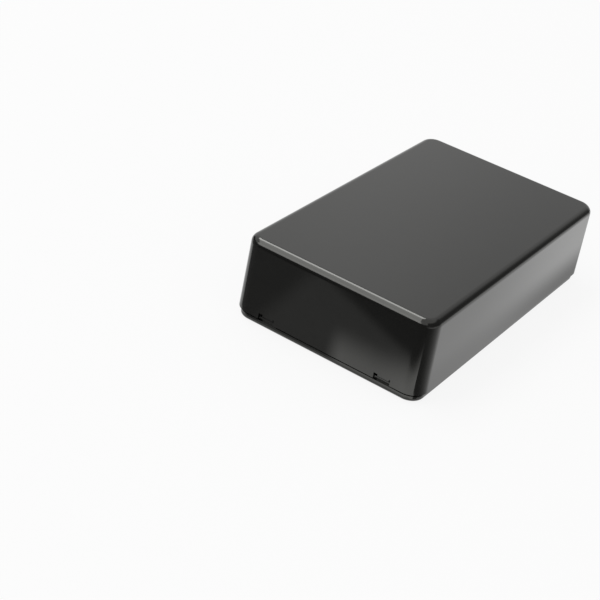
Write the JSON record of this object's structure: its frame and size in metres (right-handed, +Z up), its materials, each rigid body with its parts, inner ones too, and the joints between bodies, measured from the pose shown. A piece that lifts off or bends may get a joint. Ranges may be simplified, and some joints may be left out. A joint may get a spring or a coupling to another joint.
{
  "type": "plastic project box",
  "caption": "Rectangular snap-together electronics box: a deep cover with drafted walls and rounded edges over a shallow base with a lip, latch tongues and board posts.",
  "frame": {"origin": "middle of the footprint, on the underside of the base", "axes": "+X along the box's length, +Y across it, +Z up through the top of the cover"},
  "size_m": [0.1, 0.06, 0.025],
  "materials": {
    "cover_plastic": "polished black moulded plastic",
    "base_plastic": "polished black moulded plastic, duller inside"
  },
  "bodies": {
    "base": {"base": "base_plastic"},
    "cover": {"cover": "cover_plastic"}
  },
  "joints": [
    {"name": "cover_lift", "type": "slide", "parent": "base", "child": "cover", "axis": [0, 0, 1], "range_m": [0, 0.04]}
  ]
}
